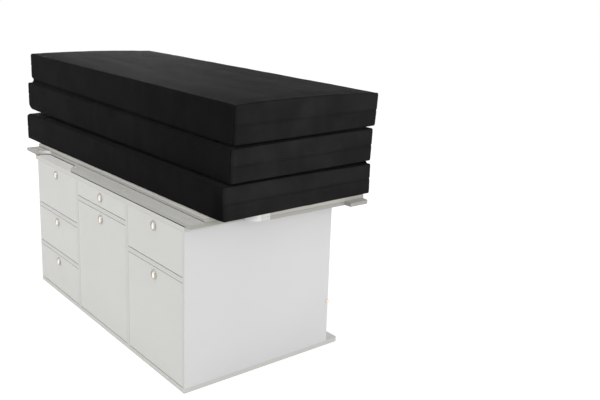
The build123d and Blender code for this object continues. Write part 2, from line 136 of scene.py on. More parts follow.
def laminate_skin_group():
    """Pressed laminate: a fine pearl grain in height, faint clouding, greyer rubs, and edge strips."""
    tree = bpy.data.node_groups.new("laminate skin", "ShaderNodeTree")
    given, made = sockets(
        tree,
        [
            ("Face colour", "NodeSocketColor", (1, 1, 1, 1)),
            ("Edge colour", "NodeSocketColor", (1, 1, 1, 1)),
            ("Thickness runs along", "NodeSocketVector", (0, 0, 1)),
            ("Clouding", "NodeSocketFloat", 0.03),
            ("Grain per metre", "NodeSocketFloat", 900.0),
            ("Face roughness", "NodeSocketFloat", 0.45),
            ("Edge roughness", "NodeSocketFloat", 0.45),
        ],
        SKIN_OUTPUTS,
    )
    place = put(tree, "ShaderNodeTexCoord")
    spot = place.outputs["Object"]
    grain = speckled(tree, spot, given["Grain per metre"], 2.0)
    clouds = speckled(tree, spot, 3.5, 4.0)
    rubs = speckled(tree, spot, 14.0, 6.0, 0.65)
    ways = {0: place.outputs["Normal"], 1: given["Thickness runs along"]}
    facing = put(tree, "ShaderNodeVectorMath", ways, operation="DOT_PRODUCT").outputs["Value"]
    on_edge = ranged(tree, math_node(tree, "ABSOLUTE", facing), 0.75, 0.85, 1.0, 0.0)
    shade = ranged(tree, clouds, 0.3, 0.7, -1.0, 1.0)
    lift = math_node(tree, "MULTIPLY_ADD", shade, given["Clouding"], 1.0)
    base = blended(tree, on_edge, given["Face colour"], given["Edge colour"])
    colour = scaled(tree, base, lift)
    gloss = ranged(tree, rubs, 0.35, 0.65, -0.05, 0.07)
    step = math_node(tree, "SUBTRACT", given["Edge roughness"], given["Face roughness"])
    rough = math_node(tree, "MULTIPLY_ADD", on_edge, step, given["Face roughness"])
    send(tree, made, colour, math_node(tree, "ADD", rough, gloss), grain)
    return tree


laminate_skin = laminate_skin_group()


def start_material(name):
    """An empty node material with its shader and output."""
    material = bpy.data.materials.new(name)
    material.use_nodes = True
    tree = material.node_tree
    tree.nodes.clear()
    shader = tree.nodes.new("ShaderNodeBsdfPrincipled")
    output = tree.nodes.new("ShaderNodeOutputMaterial")
    tree.links.new(shader.outputs["BSDF"], output.inputs["Surface"])
    return material, tree, shader


def group_in(tree, group, values):
    """Places a shader node group with its own values."""
    made = put(tree, "ShaderNodeGroup", node_tree=group)
    for name, value in values.items():
        give(tree, made.inputs[name], value)
    return made


def surface(tree, shader, colour, roughness, height, strength, depth):
    """Puts a colour, a roughness and bumps on a shader."""
    bump = put(tree, "ShaderNodeBump", {"Height": height, "Strength": strength, "Distance": depth})
    tree.links.new(bump.outputs["Normal"], shader.inputs["Normal"])
    tree.links.new(colour, shader.inputs["Base Color"])
    tree.links.new(roughness, shader.inputs["Roughness"])


def wear(tree, shader, group, values, strength, depth):
    """Puts a skin on a shader."""
    skin = group_in(tree, group, values)
    surface(tree, shader, *(skin.outputs[name] for name, _ in SKIN_OUTPUTS), strength, depth)


GRAIN_STRENGTH = 0.35
GRAIN_DEPTH = 0.0002


def laminate(name, values):
    """A laminated board, by its skin's values."""
    material, tree, shader = start_material(name)
    wear(tree, shader, laminate_skin, values, GRAIN_STRENGTH, GRAIN_DEPTH)
    return material


def dress(names, material):
    """Gives CAD nodes their finish."""
    for name in names:
        node = nodes[name]
        if not node.material_slots:
            node.data.materials.append(material)
        for slot in node.material_slots:
            slot.material = material


def board_finish(name, along, face=FACE_WHITE):
    """The cabinet's laminate on boards whose thickness runs along one axis."""
    return laminate(
        name,
        {
            "Face colour": face,
            "Edge colour": EDGE_STRIP,
            "Thickness runs along": along,
            "Clouding": 0.015,
            "Face roughness": 0.42,
            "Edge roughness": 0.48,
        },
    )


dress(LEVEL_BOARDS, board_finish("level board laminate", (0, 0, 1)))
# The uprights get the copy of the laminate that is painted lighter, as painted light.
dress(UPRIGHT_BOARDS, board_finish("upright board laminate painted lighter", (1, 0, 0), SIDE_WHITE_PAINTED_LIGHTER))
dress(["back_panel"], board_finish("back board laminate", (0, 1, 0)))

# ---- Assembly screws ----
# Countersunk chipboard screws with a cross recess, yellow zinc on steel. They hold the
# uprights to the base, the deck to the cabinet, and the guide strips to the upper board.

HEAD_RADIUS = 0.0055
HEAD_PROUD = 0.0004
HEAD_RIM = 0.0005
HEAD_DEPTH = 0.0026
SHANK_RADIUS = 0.0020
ARM_REACH = 0.0024
ARM_HALF = 0.00055
RECESS_DEPTH = 0.0014
RECESS_TAPER = (0.6, 0.7)
HEAD_SIDES = 28
TIP_LENGTH = 0.004


def ring(mesh, radius, z):
    """A loop of points round the screw's axis."""
    turns = [2 * pi * step / HEAD_SIDES for step in range(HEAD_SIDES)]
    return [mesh.verts.new((radius * cos(turn), radius * sin(turn), z)) for turn in turns]


def join_rings(mesh, upper, lower):
    """Quads between two loops with the same count."""
    for step, corner in enumerate(upper):
        after = (step + 1) % len(upper)
        mesh.faces.new((corner, lower[step], lower[after], upper[after]))


def cross_loop(mesh, reach, half, z):
    """The outline of a cross recess, with its corners cut."""
    arm = [(reach, -half), (reach, half), (half, half)]
    points = []
    for quarter in range(4):
        turn = Matrix.Rotation(quarter * pi / 2, 2)
        points += [turn @ Vector(point) for point in arm]
    return [mesh.verts.new((point.x, point.y, z)) for point in points]


def stored(mesh, data):
    """Keeps an edited mesh as plain mesh data."""
    mesh.to_mesh(data)
    mesh.free()
    return data


def screw_mesh(name, length):
    """A countersunk screw with its head's top at the origin, pointing down."""
    mesh = bmesh.new()
    rim = ring(mesh, HEAD_RADIUS, 0)
    below = ring(mesh, HEAD_RADIUS, -HEAD_RIM)
    neck = ring(mesh, SHANK_RADIUS, -HEAD_DEPTH)
    shank_end = ring(mesh, SHANK_RADIUS, -length + TIP_LENGTH)
    mouth = cross_loop(mesh, ARM_REACH, ARM_HALF, 0)
    floor_loop = cross_loop(mesh, ARM_REACH * RECESS_TAPER[0], ARM_HALF * RECESS_TAPER[1], -RECESS_DEPTH)
    for upper, lower in ((rim, below), (below, neck), (neck, shank_end), (floor_loop, mouth)):
        join_rings(mesh, upper, lower)
    tip = mesh.verts.new((0, 0, -length))
    for step, corner in enumerate(shank_end):
        mesh.faces.new((corner, tip, shank_end[(step + 1) % HEAD_SIDES]))
    mesh.faces.new(floor_loop)
    edges = [mesh.edges.get(pair) for loop in (rim, mouth) for pair in zip(loop, loop[1:] + loop[:1])]
    bmesh.ops.triangle_fill(mesh, edges=edges, use_beauty=True, use_dissolve=False, normal=(0, 0, 1))
    bmesh.ops.recalc_face_normals(mesh, faces=mesh.faces)
    return stored(mesh, bpy.data.meshes.new(name))


def realized(tree, copies, finish, made):
    """Ends a tree: its copies are made real, and get their material."""
    real = put(tree, "GeometryNodeRealizeInstances", {"Geometry": copies})
    dressed = put(tree, "GeometryNodeSetMaterial", {"Geometry": real.outputs["Geometry"], "Material": finish})
    tree.links.new(dressed.outputs["Geometry"], made["Geometry"])
    return tree


def screws_tree(name):
    """Stands a copy of a screw at each vertex, each turned as it happened to stop."""
    tree = bpy.data.node_groups.new(name, "GeometryNodeTree")
    given, made = sockets(
        tree,
        [
            ("Places", "NodeSocketGeometry", None),
            ("Screw", "NodeSocketObject", None),
            ("Tilt", "NodeSocketVector", (0, 0, 0)),
            ("Finish", "NodeSocketMaterial", None),
            ("Seed", "NodeSocketInt", 3),
        ],
        [("Geometry", "NodeSocketGeometry")],
    )
    screw = put(tree, "GeometryNodeObjectInfo", {"Object": given["Screw"]})
    turns = {0: (0, 0, 0), 1: (0, 0, pi), "Seed": given["Seed"]}
    turn = put(tree, "FunctionNodeRandomValue", turns, data_type="FLOAT_VECTOR")
    places = {
        "Points": given["Places"],
        "Instance": screw.outputs["Geometry"],
        "Rotation": turn.outputs[0],
    }
    stand = put(tree, "GeometryNodeInstanceOnPoints", places)
    tilt = {"Instances": stand.outputs["Instances"], "Rotation": given["Tilt"], "Local Space": False}
    tilted = put(tree, "GeometryNodeRotateInstances", tilt)
    return realized(tree, tilted.outputs["Instances"], given["Finish"], made)


def in_scene(name, data):
    """A new object at the origin, with its place in its mesh."""
    made = bpy.data.objects.new(name, data)
    bpy.context.scene.collection.objects.link(made)
    return made


def grown(name, base, tree, values):
    """Runs a geometry node tree on a mesh, and returns the result as one plain object."""
    holder = in_scene(name, base)
    modifier = holder.modifiers.new("growth", "NODES")
    modifier.node_group = tree
    for socket in tree.interface.items_tree:
        if socket.name in values and socket.in_out == "INPUT":
            modifier[socket.identifier] = values[socket.name]
    holder.update_tag()
    seen = holder.evaluated_get(bpy.context.evaluated_depsgraph_get())
    plain = bpy.data.meshes.new_from_object(seen)
    holder.modifiers.clear()
    holder.data = plain
    plain.name = name
    return holder


def points_mesh(name, places):
    """A mesh of loose points."""
    data = bpy.data.meshes.new(name)
    data.from_pydata([tuple(place) for place in places], [], [])
    return data


def metal_skin_group():
    """Plated metal: fine brushing, dull spots, and a slightly uneven colour."""
    tree = bpy.data.node_groups.new("plated metal skin", "ShaderNodeTree")
    given, made = sockets(
        tree,
        [
            ("Colour", "NodeSocketColor", (0.6, 0.6, 0.6, 1)),
            ("Tarnish", "NodeSocketColor", (0.5, 0.5, 0.5, 1)),
            ("Roughness", "NodeSocketFloat", 0.3),
            ("Brushing", "NodeSocketVector", (40, 1600, 1600)),
            ("Spots per metre", "NodeSocketFloat", 220.0),
        ],
        SKIN_OUTPUTS,
    )
    spot = put(tree, "ShaderNodeTexCoord").outputs["Object"]
    brushing = {0: spot, 1: given["Brushing"]}
    stretched = put(tree, "ShaderNodeVectorMath", brushing, operation="MULTIPLY")
    lines = speckled(tree, stretched.outputs[0], 1.0, 3.0)
    dull = speckled(tree, spot, given["Spots per metre"], 4.0)
    mask = ranged(tree, dull, 0.45, 0.7, 0.0, 0.8)
    colour = blended(tree, mask, given["Colour"], given["Tarnish"])
    streak = ranged(tree, lines, 0.3, 0.7, -0.05, 0.08)
    dulled = math_node(tree, "MULTIPLY_ADD", mask, 0.12, given["Roughness"])
    send(tree, made, colour, math_node(tree, "ADD", dulled, streak), lines)
    return tree


metal_skin = metal_skin_group()


LINE_STRENGTH = 0.3
LINE_DEPTH = 0.00001


def plated(name, colour, tarnish, roughness, brushing, metallic=1.0, rubs=None):
    """A plated metal finish. rubs(tree), where given, gives a mask of painted shade, and the two darker
    colours painted there.
    """
    material, tree, shader = start_material(name)
    shader.inputs["Metallic"].default_value = metallic
    values = {"Colour": colour, "Tarnish": tarnish, "Roughness": roughness, "Brushing": brushing}
    if rubs:
        # The mask paints shade on the metal, in the darker colours given.
        mask, shaded_left_colour, shaded_left_tarnish = rubs(tree)
        values["Colour"] = blended(tree, mask, colour, shaded_left_colour)
        values["Tarnish"] = blended(tree, mask, tarnish, shaded_left_tarnish)
    wear(tree, shader, metal_skin, values, LINE_STRENGTH, LINE_DEPTH)
    return material


EVEN_BRUSHING = (900, 900, 900)
YELLOW_ZINC = ((0.93, 0.82, 0.64, 1), (0.85, 0.64, 0.42, 1))
yellow_zinc = plated("yellow zinc", *YELLOW_ZINC, roughness=0.34, brushing=EVEN_BRUSHING, metallic=0.6)
screws_at = screws_tree("screws at their places")


def screw_places(node):
    """Where each screw of a CAD group stands: the low and the high corner of its box."""
    mesh = bmesh.new()
    mesh.from_mesh(nodes[node].data)
    bmesh.ops.remove_doubles(mesh, verts=mesh.verts, dist=0.00001)
    left = set(mesh.verts)
    found = []
    while left:
        island, edge = [], [left.pop()]
        while edge:
            vert = edge.pop()
            island.append(vert.co.copy())
            for link in vert.link_edges:
                other = link.other_vert(vert)
                if other in left:
                    left.remove(other)
                    edge.append(other)
        low = Vector([min(co[axis] for co in island) for axis in range(3)])
        high = Vector([max(co[axis] for co in island) for axis in range(3)])
        found.append((low, high))
    mesh.free()
    return sorted(found, key=lambda pair: (round(pair[0].x, 4), round(pair[0].y, 4)))


def stand_screws(name, body, node, length, from_below=False):
    """Detailed screws in place of those of a CAD group that have this length."""
    places = []
    for low, high in screw_places(node):
        if abs((high.z - low.z) - length) < LENGTH_SLACK:
            middle = (low + high) / 2
            places.append((middle.x, middle.y, low.z if from_below else high.z + HEAD_PROUD))
    pattern = bpy.data.objects.new(name + "_pattern", screw_mesh(name + "_pattern", length))
    tilt = (pi, 0, 0) if from_below else (0, 0, 0)
    values = {"Screw": pattern, "Tilt": tilt, "Finish": yellow_zinc}
    made = grown(name, points_mesh(name, places), screws_at, values)
    bpy.data.objects.remove(pattern)
    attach(made, body)
    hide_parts(node)


LENGTH_SLACK = 0.001
BASE_SCREW = 0.040
DECK_SCREW = 0.024
EAR_SCREW = 0.012
GUIDE_SCREW = 0.015

stand_screws("base_screw_set", "cabinet", "base_screws", BASE_SCREW, from_below=True)
stand_screws("deck_screw_set", "cabinet", "lower_deck_screws", DECK_SCREW)
stand_screws("ear_screw_set", "cabinet", "lower_deck_screws", EAR_SCREW)
stand_screws("guide_screw_set", "pull_out_deck", "upper_deck_screws", GUIDE_SCREW)

# ---- Deck boards ----
# Two thin boards in a darker grey laminate, with a warm grey strip of plastic glued round
# their edges that whitens where it is bent. A black painted shadow lies below them and along
# the foot of their fronts, and painted highlights lie on the strip round the notch. The upper
# board is painted lighter than the lower. The lower board is screwed down over a thin black
# rubber sheet.

# Each bend, and each painted highlight: where it begins and ends from left to right, how
# far it fades, its depth, and how white it is. At the step and its foot the strip itself
# whitens; round the bite and the notch the white is a painted highlight.
STEP_BEND = ((0.596, 0.6365), 0.004, (-0.30, -0.035), 1.0)
STEP_FOOT = ((0.630, 0.646), 0.005, (-0.30, -0.035), 0.5)
BITE_HIGHLIGHT = ((-0.60, -0.538), 0.022, (-0.2765, -0.22), 0.75)
NOTCH_HIGHLIGHT = ((-0.60, -0.24), 0.03, (-0.2765, -0.22), 0.12)
# Each board: its face, its edge strip, the strip's bends and painted highlights, and the height that the
# painted shadow reaches.
# The two boards are one laminate in lit and shaded copies: the upper board's colours are painted lighter, as
# painted light where the mattress shades it, and the lower board's darker, as painted shade on its brightly
# lit strip.
DECK_BOARDS = {
    "deck_board_lower": (
        (0.435, 0.434, 0.414, 1),
        (0.350, 0.345, 0.315, 1),
        (STEP_BEND, STEP_FOOT, BITE_HIGHLIGHT, NOTCH_HIGHLIGHT),
        0.5163,
    ),
    "deck_board_upper": ((0.530, 0.528, 0.505, 1), (0.430, 0.424, 0.386, 1), (STEP_BEND, STEP_FOOT), 0.5289),
}
# The white of a bent strip, also used for the painted highlights round the bite and the notch.
BEND_WHITE_AND_HIGHLIGHT = (0.87, 0.87, 0.86, 1)
# Black painted shadow under the boards and along the foot of their fronts, where the gap and joint lie in
# shade; on the fronts it stops short of the step on the right.
PAINTED_SHADOW_BLACK = (0.018, 0.018, 0.017, 1)
PAINTED_SHADOW_END = 0.5935


def on_bends_and_highlights(tree, bends_and_highlights):
    """How white a deck board's strip is painted: where it bends at the step, and as painted highlights round
    the bite and the notch; 0 elsewhere.
    """
    spot = put(tree, "ShaderNodeTexCoord").outputs["Object"]
    axes = put(tree, "ShaderNodeSeparateXYZ", {0: spot})
    share = 0.0
    for (left, right), fade, (front, back), whiteness in bends_and_highlights:
        begun = ranged(tree, axes.outputs["X"], left, left + fade, 0.0, 1.0)
        ended = ranged(tree, axes.outputs["X"], right - fade, right, 1.0, 0.0)
        behind = math_node(tree, "GREATER_THAN", axes.outputs["Y"], front)
        before = math_node(tree, "LESS_THAN", axes.outputs["Y"], back)
        across = math_node(tree, "MULTIPLY", behind, before)
        along = math_node(tree, "MULTIPLY", begun, ended)
        bent = math_node(tree, "MULTIPLY", along, across)
        share = math_node(tree, "MULTIPLY_ADD", bent, whiteness, share)
    return share


FORWARD_NORMAL = -0.3
DOWNWARD_NORMAL = -0.9


def deck_laminate(name, face, edge, bends_and_highlights, painted_shadow_top):
    """A deck board's laminate, its edge strip, and a black painted shadow below and in front."""
    material, tree, shader = start_material(name)
    values = {
        "Face colour": face,
        "Edge colour": blended(tree, on_bends_and_highlights(tree, bends_and_highlights), edge, BEND_WHITE_AND_HIGHLIGHT),
        "Thickness runs along": (0, 0, 1),
        "Clouding": 0.02,
        "Face roughness": 0.50,
        "Edge roughness": 0.40,
    }
    skin = group_in(tree, laminate_skin, values)
    place = put(tree, "ShaderNodeTexCoord")
    spot = put(tree, "ShaderNodeSeparateXYZ", {0: place.outputs["Object"]})
    turned = put(tree, "ShaderNodeSeparateXYZ", {0: place.outputs["Normal"]})
    # Painted shadow: black on faces that look down, and on faces that look forward left of the step, up to
    # the given height.
    forward = math_node(tree, "LESS_THAN", turned.outputs["Y"], FORWARD_NORMAL)
    downward = math_node(tree, "LESS_THAN", turned.outputs["Z"], DOWNWARD_NORMAL)
    before_step = math_node(tree, "LESS_THAN", spot.outputs["X"], PAINTED_SHADOW_END)
    either = math_node(tree, "MAXIMUM", math_node(tree, "MULTIPLY", forward, before_step), downward)
    painted_shadow = math_node(tree, "MULTIPLY", either, math_node(tree, "LESS_THAN", spot.outputs["Z"], painted_shadow_top))
    colour = blended(tree, painted_shadow, skin.outputs["Colour"], PAINTED_SHADOW_BLACK)
    rough, height = skin.outputs["Roughness"], skin.outputs["Height"]
    surface(tree, shader, colour, rough, height, GRAIN_STRENGTH, GRAIN_DEPTH)
    return material


for name, look in DECK_BOARDS.items():
    dress([name], deck_laminate(name.replace("_", " ") + " laminate", *look))

RUBBER_BLACK = (0.012, 0.012, 0.012, 1)
RUBBER_DUST = (0.03, 0.03, 0.028, 1)
RUBBER_PIT_DEPTH = 0.0002

rubber, tree, shader = start_material("underlay rubber")
shader.inputs["Specular IOR Level"].default_value = 0.25
spot = put(tree, "ShaderNodeTexCoord").outputs["Object"]
pits = speckled(tree, spot, 1500.0, 3.0)
dust = speckled(tree, spot, 60.0, 5.0)
dusty = blended(tree, ranged(tree, dust, 0.5, 0.8, 0.0, 0.5), RUBBER_BLACK, RUBBER_DUST)
rough = ranged(tree, dust, 0.3, 0.7, 0.75, 0.92)
surface(tree, shader, dusty, rough, pits, 0.5, RUBBER_PIT_DEPTH)
dress(["deck_underlay"], rubber)

# ---- Pull-out guides and stops ----
# Two strips of white low-friction plastic, milled from bar and screwed to the upper board from
# above. They run in grooves in the lower board, between thin stops of zinc plated steel.

GUIDE_WHITE = (0.72, 0.71, 0.66, 1)
GUIDE_GRUBBY = (0.50, 0.49, 0.45, 1)
MILLED_DEPTH = 0.0001

guide_plastic, tree, shader = start_material("guide plastic")
spot = put(tree, "ShaderNodeTexCoord").outputs["Object"]
waves = {"Vector": spot, "Scale": 300.0, "Distortion": 2.0}
milled = put(tree, "ShaderNodeTexWave", waves, bands_direction="Y").outputs["Fac"]
scuffs = speckled(tree, spot, 80.0, 5.0)
grubby = blended(tree, ranged(tree, scuffs, 0.5, 0.75, 0.0, 0.6), GUIDE_WHITE, GUIDE_GRUBBY)
rough = ranged(tree, scuffs, 0.3, 0.7, 0.30, 0.50)
surface(tree, shader, grubby, rough, milled, 0.2, MILLED_DEPTH)
dress(["deck_guides"], guide_plastic)

BRUSHED_ALONG_Y = (900, 40, 900)
BRIGHT_ZINC = ((0.62, 0.63, 0.65, 1), (0.45, 0.46, 0.47, 1))
bright_zinc = plated("bright zinc", *BRIGHT_ZINC, roughness=0.32, brushing=BRUSHED_ALONG_Y)
dress(["deck_stops", "strike_plates", "runner_channels"], bright_zinc)
dress(["side_bolt"], yellow_zinc)

# ---- Drawer fronts ----
# The same light laminate as the cabinet, with ironed edges and one bored hole for the lock.
# Each front is fixed to its drawer box from behind.

DRAWERS = ("left_top", "left_middle", "left_bottom", "middle_top", "middle_tall", "right_top", "right_tall")
front_finish = board_finish("drawer front laminate", (0, 1, 0))
dress([f"drawer_front_{name}" for name in DRAWERS], front_finish)

# ---- Drawer boxes and slides ----
# Thin off-white coated board, pinned and glued, with a zinc plated steel rail on each side
# that runs in a channel on the cabinet.

box_finish = laminate(
    "drawer box board",
    {
        "Face colour": (0.62, 0.60, 0.55, 1),
        "Edge colour": (0.50, 0.42, 0.30, 1),
        "Thickness runs along": (1, 0, 0),
        "Clouding": 0.04,
        "Face roughness": 0.55,
        "Edge roughness": 0.70,
    },
)
dress([f"drawer_box_{name}" for name in DRAWERS], box_finish)
dress([f"drawer_slides_{name}" for name in DRAWERS], bright_zinc)

# ---- Push locks ----
# A ring in each front with a brighter button in it, both satin plated over brass, and a
# moulded case behind. The button latches when pressed in, and springs out as the pull. The
# left of each button is painted darker, as a painted dark reflection.

SATIN_BRUSHING = (700, 700, 700)
# Colours of the painted dark reflection on the left of each button.
LEFT_SHADE_COLOURS = ((0.30, 0.28, 0.26, 1), (0.26, 0.24, 0.22, 1))


def painted_left_shade(tree):
    """The left of each button is painted darker and browner: a painted dark reflection."""
    facing = put(tree, "ShaderNodeSeparateXYZ", {0: put(tree, "ShaderNodeTexCoord").outputs["Normal"]})
    return ranged(tree, facing.outputs["X"], -0.04, 0.12, 1.0, 0.0), *LEFT_SHADE_COLOURS


SATIN = {"roughness": 0.24, "brushing": SATIN_BRUSHING}
# The ring's colour is partly its satin nickel and partly painted darker, as a painted reflection of dim
# surroundings.
RING_COLOURS = ((0.50, 0.46, 0.41, 1), (0.40, 0.35, 0.28, 1))
BUTTON_COLOURS = ((0.96, 0.95, 0.91, 1), (0.86, 0.80, 0.68, 1))
ring_metal = plated("satin nickel ring", *RING_COLOURS, **SATIN)
button_metal = plated("chrome button painted darker on the left", *BUTTON_COLOURS, **SATIN, rubs=painted_left_shade)
dress([f"lock_body_{name}" for name in DRAWERS], ring_metal)
dress([f"lock_knob_{name}" for name in DRAWERS], button_metal)

# ---- Mattress sections ----
# Three foam blocks in removable covers of black woven cloth, which fit them closely. A long
# panel goes round each block, and both its ends are closed by an upper and a lower half
# with a seam between. The sections lie folded in a Z, a little askew on the deck.

MATTRESS_YAW = radians(1.05)
MATTRESS_CORNER = Vector((0.644, -0.198, 0))
EDGE_RADIUS = 0.006
GRID_SPACING = 0.014
SEAM_ROWS = (-0.0075, -0.0035, 0.0, 0.0035, 0.0075)
ROUNDING_STEPS = (0.0, 0.423, 0.732, 1.0)
FOAM_GROWTH = np.array([0.0015, 0.0015, -0.0005])
CLOTH_SETTINGS = {
    "quality": 6,
    "mass": 0.3,
    "tension_stiffness": 18,
    "compression_stiffness": 18,
    "shear_stiffness": 6,
    "bending_stiffness": 1.2,
    "use_pressure": True,
    "uniform_pressure_force": 4.0,
}
FILL_FRAMES = 20
CLOTH_REACH = 0.004
PRESSED_REACH = 0.0005
# Each section: the body that it rides on, its length and depth, and how far it lies shifted to
# the right and to the back. At its right and at its left end: its low and high edges in front,
# then behind, and how far its underside and its top swell between them. How far the left end
# narrows from below and from above. How far its top leans out at the right end, forward and to
# the right. How far its free corner sags, and its foot spreads forward. Its own noise.
SECTIONS = {
    "mattress_bottom": dict(
        body="cabinet",
        size=(1.449, 0.570),
        shift=(0.0, 0.0),
        right=(0.5382, 0.637, 0.5382, 0.638),
        left=(0.5382, 0.6476, 0.5382, 0.6476),
        crowns=((0, 0.0015), (0, 0.006)),
        cuts=(0.0, 0.010),
        leans=(0.009, 0.0),
        sag=0.0042,
        spread=0.013,
        seed=1.0,
    ),
    "mattress_middle": dict(
        body="mattress_middle_section",
        size=(1.468, 0.548),
        shift=(0.004, 0.015),
        right=(0.642, 0.743, 0.649, 0.756),
        left=(0.662, 0.773, 0.664, 0.775),
        crowns=((0.0005, 0.001), (0.010, 0.006)),
        cuts=(0.018, 0.0),
        leans=(0.0, 0.005),
        sag=0.0,
        spread=0.0,
        seed=2.0,
    ),
    "mattress_top": dict(
        body="mattress_upper_section",
        size=(1.450, 0.552),
        shift=(0.004, 0.024),
        right=(0.7485, 0.864, 0.7615, 0.869),
        left=(0.787, 0.892, 0.789, 0.896),
        crowns=((0.0005, 0.006), (0.006, 0.005)),
        cuts=(0.008, 0.0),
        leans=(0.0, 0.008),
        sag=0.0,
        spread=0.0,
        seed=3.0,
    ),
}
LEFT_CUT_WIDTH = 0.022
SAG_WIDTH = 0.055
CORNER_WIDTH = 0.045


def laid(along, across, height):
    """From a section's own length, depth and height to its place on the askew mattress."""
    x = MATTRESS_CORNER.x - along * cos(MATTRESS_YAW) - across * sin(MATTRESS_YAW)
    y = MATTRESS_CORNER.y - along * sin(MATTRESS_YAW) + across * cos(MATTRESS_YAW)
    return np.stack([x, y, height], axis=-1)


def side_lines(length, middles=()):
    """Where the grid crosses one side: close round its two corners, even between them."""
    turn = [step * EDGE_RADIUS for step in ROUNDING_STEPS]
    stops = [EDGE_RADIUS, *middles, length - EDGE_RADIUS]
    lines = list(turn)
    for start, end in zip(stops, stops[1:]):
        count = max(1, round((end - start) / GRID_SPACING))
        lines += [start + (end - start) * step / count for step in range(1, count + 1)]
    return np.array(lines + [length - step for step in turn[-2::-1]])


def box_grid(lines):
    """A closed box of quads on three sets of lines: its grid points and its faces."""
    counts = [len(line) for line in lines]
    index, points, faces = {}, [], []

    def corner(*cell):
        """The number of a grid point, which is added when it is first met."""
        if cell not in index:
            index[cell] = len(points)
            points.append([lines[axis][cell[axis]] for axis in range(3)])
        return index[cell]

    for axis in range(3):
        u, v = (axis + 1) % 3, (axis + 2) % 3
        for end in (0, counts[axis] - 1):
            for i in range(counts[u] - 1):
                for j in range(counts[v] - 1):
                    quad = []
                    for di, dj in ((0, 0), (1, 0), (1, 1), (0, 1)):
                        cell = [0, 0, 0]
                        cell[axis], cell[u], cell[v] = end, i + di, j + dj
                        quad.append(corner(*cell))
                    faces.append(quad if end else quad[::-1])
    return np.array(points), faces


def rounded(points, size):
    """Rounds a box's edges and corners."""
    inner = np.clip(points, EDGE_RADIUS, np.array(size) - EDGE_RADIUS)
    away = points - inner
    reach = np.linalg.norm(away, axis=1, keepdims=True)
    return inner + away / np.maximum(reach, 1e-9) * np.minimum(EDGE_RADIUS, reach * 1e6)


def section_place(section, along, across, share):
    """Where a point of a section lies. share runs from 0 at its underside to 1 on top."""
    length, depth = section["size"]
    left, back = along / length, across / depth
    ends = []
    for front_low, front_high, back_low, back_high in (section["right"], section["left"]):
        ends.append((front_low + (back_low - front_low) * back, front_high + (back_high - front_high) * back))
    low, high = (right + (left_end - right) * left for right, left_end in zip(*ends))
    dome = 1 - (2 * back - 1) ** 2
    (low_right, high_right), (low_left, high_left) = section["crowns"]
    low = low - (low_right + (low_left - low_right) * left) * dome
    high = high + (high_right + (high_left - high_right) * left) * dome
    near_left = np.clip(1 - (length - along) / LEFT_CUT_WIDTH, 0, 1) ** 2
    overhang = np.clip(1 - along / SAG_WIDTH, 0, 1) * np.clip(1 - back, 0, 1)
    low = low + section["cuts"][0] * near_left - section["sag"] * overhang
    high = high - section["cuts"][1] * near_left
    shift_x, shift_y = section["shift"]
    front_lean, end_lean = section["leans"]
    near_right = (1 - left) * share
    place_along = along - shift_x - end_lean * near_right
    turned_corner = 1 - np.clip(1 - along / CORNER_WIDTH, 0, 1) ** 2
    foot_spread = section["spread"] * turned_corner * (1 - left) * (1 - share)
    forward = front_lean * near_right + foot_spread
    place_across = across + shift_y - forward * (1 - back)
    return laid(place_along, place_across, low + (high - low) * share)


def cover_mesh(name, section):
    """The cover before it is filled, with each point's length, depth and height kept on it."""
    length, depth = section["size"]
    thick = (section["right"][1] - section["right"][0] + section["left"][1] - section["left"][0]) / 2
    seam = thick / 2
    lines = (side_lines(length), side_lines(depth), side_lines(thick, [seam + row for row in SEAM_ROWS]))
    points, faces = box_grid(lines)
    flat = rounded(points, (length, depth, thick))
    size = np.array([length, depth, thick])
    held = flat + (flat - size / 2) * (2 * FOAM_GROWTH / size)
    co = section_place(section, held[:, 0], held[:, 1], held[:, 2] / thick)
    data = bpy.data.meshes.new(name)
    data.from_pydata(co.tolist(), [], faces)
    data.flip_normals()
    for label, column in (("along", 0), ("across", 1), ("share", 2)):
        kept = data.attributes.new(label, "FLOAT", "POINT")
        kept.data.foreach_set("value", (flat[:, column] / (thick if column == 2 else 1)).astype(np.float32))
    return data


def coordinates(data):
    """Where a mesh's points are."""
    co = np.zeros(len(data.vertices) * 3, np.float32)
    data.vertices.foreach_get("co", co)
    return co.reshape(-1, 3).astype(float)


def set_coordinates(data, co):
    """Moves a mesh's points."""
    data.vertices.foreach_set("co", co.astype(np.float32).ravel())
    data.update()


def attribute(data, label):
    """A value that is kept at each point of a mesh."""
    values = np.zeros(len(data.vertices), np.float32)
    data.attributes[label].data.foreach_get("value", values)
    return values.astype(float)


def fill(cover, free_top):
    """Swells a cover with Blender's cloth, and keeps the result as its mesh.

    The foam inside keeps the cloth from drawing in, and its neighbours press it flat.
    """
    start = coordinates(cover.data)
    modifier = cover.modifiers.new("filling", "CLOTH")
    cloth = modifier.settings
    for name, value in CLOTH_SETTINGS.items():
        setattr(cloth, name, value)
    cloth.effector_weights.gravity = 0
    modifier.point_cache.frame_start = 1
    modifier.point_cache.frame_end = FILL_FRAMES
    for step in range(1, FILL_FRAMES + 1):
        bpy.context.scene.frame_set(step)
    seen = cover.evaluated_get(bpy.context.evaluated_depsgraph_get())
    swollen = coordinates(seen.data)
    cover.modifiers.clear()
    bpy.context.scene.frame_set(1)
    moved = swollen - start
    outward = normals(cover.data)
    moved -= outward * np.minimum(0, (moved * outward).sum(axis=1, keepdims=True))
    pressed = np.maximum(-outward[:, 2:], 0) if free_top else np.abs(outward[:, 2:])
    most = CLOTH_REACH + (PRESSED_REACH - CLOTH_REACH) * pressed
    reach = np.linalg.norm(moved, axis=1, keepdims=True)
    set_coordinates(cover.data, start + moved * np.minimum(1, most / np.maximum(reach, 1e-9)))


